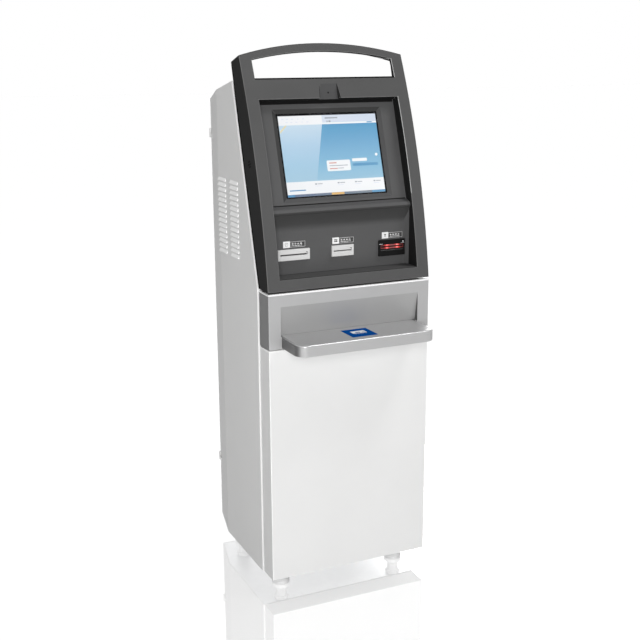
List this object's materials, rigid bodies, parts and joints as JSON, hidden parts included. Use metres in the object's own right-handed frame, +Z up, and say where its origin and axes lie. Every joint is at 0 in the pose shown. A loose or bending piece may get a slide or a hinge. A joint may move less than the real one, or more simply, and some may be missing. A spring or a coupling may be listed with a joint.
{
  "type": "payment kiosk",
  "caption": "Floor-standing payment kiosk: white cabinet with front and rear doors, silver band with a shelf, and a dark leaning head with a screen and slots for receipt, card and banknotes",
  "frame": {"origin": "middle of the footprint on the floor, under the feet", "axes": "+X to the right as the user sees it, +Y to the back, +Z up; the screen faces -Y"},
  "size_m": [0.518, 0.6298, 1.5613],
  "materials": {
    "white_paint": "white powder coat",
    "silver_paint": "silver powder coat",
    "dark_paint": "dark grey satin paint",
    "black_paint": "black paint",
    "zinc_steel": "zinc-plated sheet",
    "steel": "plain steel",
    "chrome": "plated",
    "aluminium": "bare",
    "blue_film": "printed film",
    "circuit_board": "circuit board with potted parts",
    "grey_plastic": "moulded",
    "black_plastic": "moulded",
    "fascia_plastic": "moulded, fine grain",
    "screen_glass": "touch glass",
    "screen": "lit panel",
    "lens": "dark lens",
    "pale_plastic": "moulded",
    "red_light": "lit frame",
    "label_film": "printed film",
    "roller_rubber": "ground rubber",
    "paper": "thermal paper",
    "cassette_plastic": "moulded",
    "red_plastic": "moulded",
    "foot_plastic": "moulded on a steel stud"
  },
  "bodies": {
    "cabinet": {"left_side_panel": "white_paint", "right_side_panel": "white_paint", "base_tray": "zinc_steel", "top_panel": "white_paint", "cross_rail": "zinc_steel", "rear_sill": "white_paint", "band": "silver_paint", "shelf_tray": "silver_paint", "shelf_base": "zinc_steel", "shelf_pad": "blue_film", "pad_reader": "circuit_board", "device_shelf": "zinc_steel", "printer_body": "grey_plastic", "roll_cradle": "zinc_steel", "card_reader": "grey_plastic", "note_acceptor": "grey_plastic", "computer_case": "black_paint", "power_supply": "aluminium", "fan_frame": "black_plastic", "mains_inlet": "black_plastic", "door_hinge_pins": "steel", "rear_hinge_pins": "steel", "head_hinge_leaf": "steel", "head_hinge_pin": "steel", "door_latch_post": "steel", "door_catches": "black_plastic", "sill_screws": "steel"},
    "front_door": {"front_door": "white_paint", "door_hinge_sleeves": "steel"},
    "door_latch": {"door_latch": "steel"},
    "rear_door": {"rear_door": "white_paint", "rear_hinge_sleeves": "steel", "rear_lock_body": "chrome"},
    "rear_lock": {"rear_lock_plug": "steel"},
    "head": {"head_bezel": "dark_paint", "fascia": "fascia_plastic", "touch_glass": "screen_glass", "lcd_panel": "screen", "lcd_bracket": "zinc_steel", "camera_module": "circuit_board", "camera_lens": "lens", "speakers": "black_plastic", "receipt_plate": "pale_plastic", "card_plate": "pale_plastic", "note_bezel": "black_plastic", "note_light": "red_light", "slot_labels": "label_film", "head_rear_rail": "zinc_steel", "head_leaf": "steel"},
    "platen": {"platen_roller": "roller_rubber"},
    "roll": {"paper_roll": "paper", "roll_spindle": "grey_plastic"},
    "cassette": {"note_cassette": "cassette_plastic"},
    "fan": {"fan_rotor": "black_plastic"},
    "rocker": {"mains_rocker": "red_plastic"},
    "button": {"computer_button": "aluminium"},
    "foot_front_left": {"foot_front_left": "foot_plastic"},
    "foot_front_right": {"foot_front_right": "foot_plastic"},
    "foot_rear_left": {"foot_rear_left": "foot_plastic"},
    "foot_rear_right": {"foot_rear_right": "foot_plastic"}
  },
  "joints": [
    {"name": "head_lift", "type": "hinge", "parent": "cabinet", "child": "head", "pos_m": [0, 0.03302, 1.45947], "axis": [-1, 0, 0], "range_deg": [0, 60]},
    {"name": "front_door_swing", "type": "hinge", "parent": "cabinet", "child": "front_door", "pos_m": [0.2545, -0.1354, 0.399], "axis": [0, 0, 1], "range_deg": [0, 110]},
    {"name": "door_latch_turn", "type": "hinge", "parent": "cabinet", "child": "door_latch", "pos_m": [-0.222, -0.1357, 0.399], "axis": [0, 1, 0], "range_deg": [0, 90]},
    {"name": "rear_door_swing", "type": "hinge", "parent": "cabinet", "child": "rear_door", "pos_m": [-0.2235, 0.3114, 0.77935], "axis": [0, 0, 1], "range_deg": [0, 110]},
    {"name": "rear_lock_turn", "type": "hinge", "parent": "rear_door", "child": "rear_lock", "pos_m": [0.187, 0.3076, 0.77935], "axis": [0, -1, 0], "range_deg": [0, 90]},
    {"name": "roll_turn", "type": "hinge", "parent": "cabinet", "child": "roll", "pos_m": [-0.148, 0.0401, 0.979], "axis": [1, 0, 0], "continuous": true},
    {"name": "platen_turn", "type": "hinge", "parent": "cabinet", "child": "platen", "pos_m": [-0.148, -0.0839, 0.9845], "axis": [1, 0, 0], "continuous": true},
    {"name": "cassette_slide", "type": "slide", "parent": "cabinet", "child": "cassette", "axis": [0, 1, 0], "range_m": [0, 0.11]},
    {"name": "fan_turn", "type": "hinge", "parent": "cabinet", "child": "fan", "pos_m": [-0.2518, 0.0826, 1.0785], "axis": [1, 0, 0], "continuous": true},
    {"name": "rocker_tip", "type": "hinge", "parent": "cabinet", "child": "rocker", "pos_m": [0.12, 0.3096, 0.134], "axis": [-1, 0, 0], "range_deg": [0, 18]},
    {"name": "button_press", "type": "slide", "parent": "cabinet", "child": "button", "axis": [0, -1, 0], "range_m": [0, 0.002], "stiffness_N_per_m": 600},
    {"name": "foot_front_left_turn", "type": "hinge", "parent": "cabinet", "child": "foot_front_left", "pos_m": [-0.19, -0.1129, 0.055], "axis": [0, 0, 1], "continuous": true},
    {"name": "foot_front_right_turn", "type": "hinge", "parent": "cabinet", "child": "foot_front_right", "pos_m": [0.19, -0.1129, 0.055], "axis": [0, 0, 1], "continuous": true},
    {"name": "foot_rear_left_turn", "type": "hinge", "parent": "cabinet", "child": "foot_rear_left", "pos_m": [-0.19, 0.2021, 0.055], "axis": [0, 0, 1], "continuous": true},
    {"name": "foot_rear_right_turn", "type": "hinge", "parent": "cabinet", "child": "foot_rear_right", "pos_m": [0.19, 0.2021, 0.055], "axis": [0, 0, 1], "continuous": true}
  ],
  "couplings": [
    {"joint": "platen_turn", "follows": "roll_turn", "ratio": 5}
  ]
}
